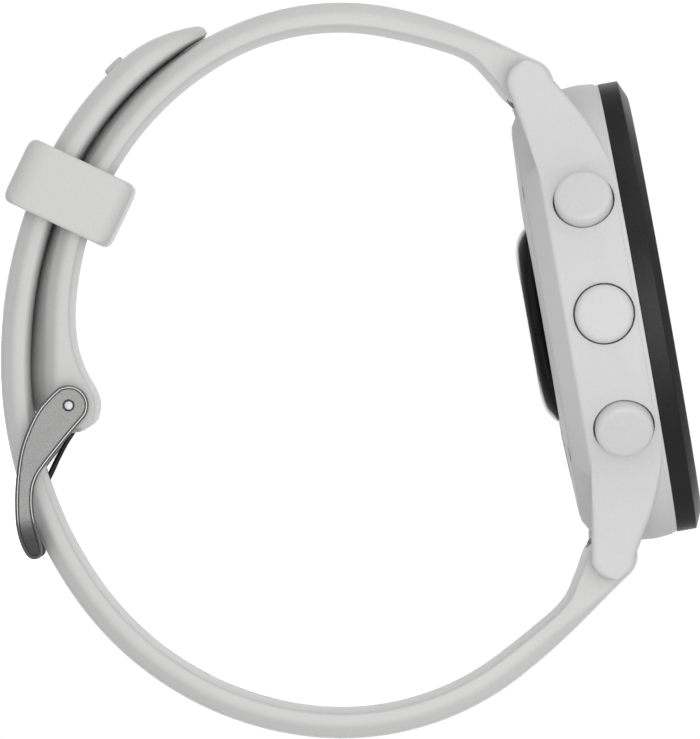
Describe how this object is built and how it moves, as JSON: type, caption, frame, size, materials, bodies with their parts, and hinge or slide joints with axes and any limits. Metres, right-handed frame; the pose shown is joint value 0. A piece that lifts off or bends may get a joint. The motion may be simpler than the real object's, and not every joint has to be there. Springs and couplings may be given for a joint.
{
  "type": "gps running watch",
  "caption": "Round running watch on a buckled silicone band, with side push buttons, an optical sensor window, a sliding keeper and quick-release spring bars",
  "frame": {"origin": "On the case axis, at the flat face of the sensor window that rests on the wrist", "axes": "+X points to 3 o'clock, +Y to 12 o'clock and +Z out of the display, away from the wrist"},
  "size_m": [0.0446, 0.0701, 0.064],
  "materials": {
    "case_resin": "fine satin grain",
    "bezel_black": "fine speckled black",
    "lens_glass": "polished",
    "adhesive_black": "flat",
    "display_dark": "glossy",
    "polyimide": "satin film",
    "seal_rubber": "matte",
    "cover_resin": "satin",
    "dark_steel": "blackened",
    "sensor_black": "glossy black",
    "board_green": "solder mask",
    "led_green": "clear lens",
    "diode_dark": "glossy",
    "insert_black": "moulded",
    "contact_gold": "gold plated",
    "frame_grey": "moulded",
    "battery_foil": "foil",
    "pad_foam": "foam",
    "bright_steel": "turned",
    "antenna_copper": "plated",
    "beeper_grey": "moulded",
    "rotor_metal": "sintered",
    "switch_steel": "pressed",
    "button_paint": "satin paint",
    "band_silicone": "soft matte silicone",
    "buckle_metal": "satin grey, bright cut edges",
    "tang_metal": "dark satin"
  },
  "bodies": {
    "head": {"case": "case_resin", "bezel": "bezel_black", "lens": "lens_glass", "lens_adhesive": "adhesive_black", "display_panel": "display_dark", "display_flex": "polyimide", "back_seal": "seal_rubber", "back_cover": "cover_resin", "back_screws": "dark_steel", "sensor_window": "sensor_black", "sensor_board": "board_green", "sensor_leds": "led_green", "sensor_photodiodes": "diode_dark", "charging_insert": "insert_black", "charging_contacts": "contact_gold", "inner_frame": "frame_grey", "frame_screws": "dark_steel", "battery": "battery_foil", "battery_pad": "pad_foam", "main_board": "board_green", "shield_cans": "bright_steel", "gps_antenna": "antenna_copper", "beeper": "beeper_grey", "motor_can": "bright_steel", "pressure_sensor": "bright_steel", "left_button_flex": "polyimide", "right_button_flex": "polyimide", "button_switches": "switch_steel", "button_sleeves": "bright_steel"},
    "light_key": {"light_button": "button_paint", "light_seal": "seal_rubber", "light_clip": "bright_steel"},
    "up_key": {"up_button": "button_paint", "up_seal": "seal_rubber", "up_clip": "bright_steel"},
    "down_key": {"down_button": "button_paint", "down_seal": "seal_rubber", "down_clip": "bright_steel"},
    "start_key": {"start_button": "button_paint", "start_seal": "seal_rubber", "start_clip": "bright_steel"},
    "back_key": {"back_button": "button_paint", "back_seal_ring": "seal_rubber", "back_clip": "bright_steel"},
    "rotor": {"motor_rotor": "rotor_metal"},
    "upper_band": {"upper_strap": "band_silicone", "upper_bar_tube": "bright_steel"},
    "lower_band": {"lower_strap": "band_silicone", "lower_bar_tube": "bright_steel"},
    "upper_release": {"upper_release_pin": "bright_steel"},
    "lower_release": {"lower_release_pin": "bright_steel"},
    "keeper": {"keeper_loop": "band_silicone"},
    "buckle": {"buckle_frame": "buckle_metal", "buckle_pin": "bright_steel"},
    "tang": {"buckle_tang": "tang_metal"}
  },
  "joints": [
    {"name": "light_press", "type": "slide", "parent": "head", "child": "light_key", "axis": [0.866, -0.5, 0], "range_m": [0, 0.0005], "stiffness_N_per_m": 1500, "springref_m": -0.001},
    {"name": "up_press", "type": "slide", "parent": "head", "child": "up_key", "axis": [1, 0, 0], "range_m": [0, 0.0005], "stiffness_N_per_m": 1500, "springref_m": -0.001},
    {"name": "down_press", "type": "slide", "parent": "head", "child": "down_key", "axis": [0.866, 0.5, 0], "range_m": [0, 0.0005], "stiffness_N_per_m": 1500, "springref_m": -0.001},
    {"name": "start_press", "type": "slide", "parent": "head", "child": "start_key", "axis": [-0.866, -0.5, 0], "range_m": [0, 0.0005], "stiffness_N_per_m": 1500, "springref_m": -0.001},
    {"name": "back_press", "type": "slide", "parent": "head", "child": "back_key", "axis": [-0.866, 0.5, 0], "range_m": [0, 0.0005], "stiffness_N_per_m": 1500, "springref_m": -0.001},
    {"name": "motor_spin", "type": "hinge", "parent": "head", "child": "rotor", "pos_m": [-0.0109, 0, 0.0044], "axis": [0, 0, 1], "continuous": true},
    {"name": "upper_swivel", "type": "hinge", "parent": "head", "child": "upper_band", "pos_m": [0, 0.02265, 0.004], "axis": [1, 0, 0], "range_deg": [-0.4, 0.4]},
    {"name": "lower_swivel", "type": "hinge", "parent": "head", "child": "lower_band", "pos_m": [0, -0.02265, 0.004], "axis": [1, 0, 0], "range_deg": [-0.4, 0.4]},
    {"name": "upper_release_slide", "type": "slide", "parent": "upper_band", "child": "upper_release", "axis": [1, 0, 0], "range_m": [0, 0.00125], "stiffness_N_per_m": 300, "springref_m": -0.002},
    {"name": "lower_release_slide", "type": "slide", "parent": "lower_band", "child": "lower_release", "axis": [1, 0, 0], "range_m": [0, 0.00125], "stiffness_N_per_m": 300, "springref_m": -0.002},
    {"name": "keeper_slide", "type": "hinge", "parent": "upper_band", "child": "keeper", "pos_m": [0, -0.00095, -0.01085], "axis": [1, 0, 0], "range_deg": [-8, 6]},
    {"name": "buckle_hinge", "type": "hinge", "parent": "upper_band", "child": "buckle", "pos_m": [0, 0.00036, -0.04399], "axis": [1, 0, 0], "range_deg": [0, 1.2]},
    {"name": "tang_hinge", "type": "hinge", "parent": "buckle", "child": "tang", "pos_m": [0, 0.00036, -0.04399], "axis": [1, 0, 0], "range_deg": [0, 0.6]}
  ],
  "couplings": [
    {"joint": "lower_swivel", "follows": "upper_swivel", "ratio": 1}
  ]
}
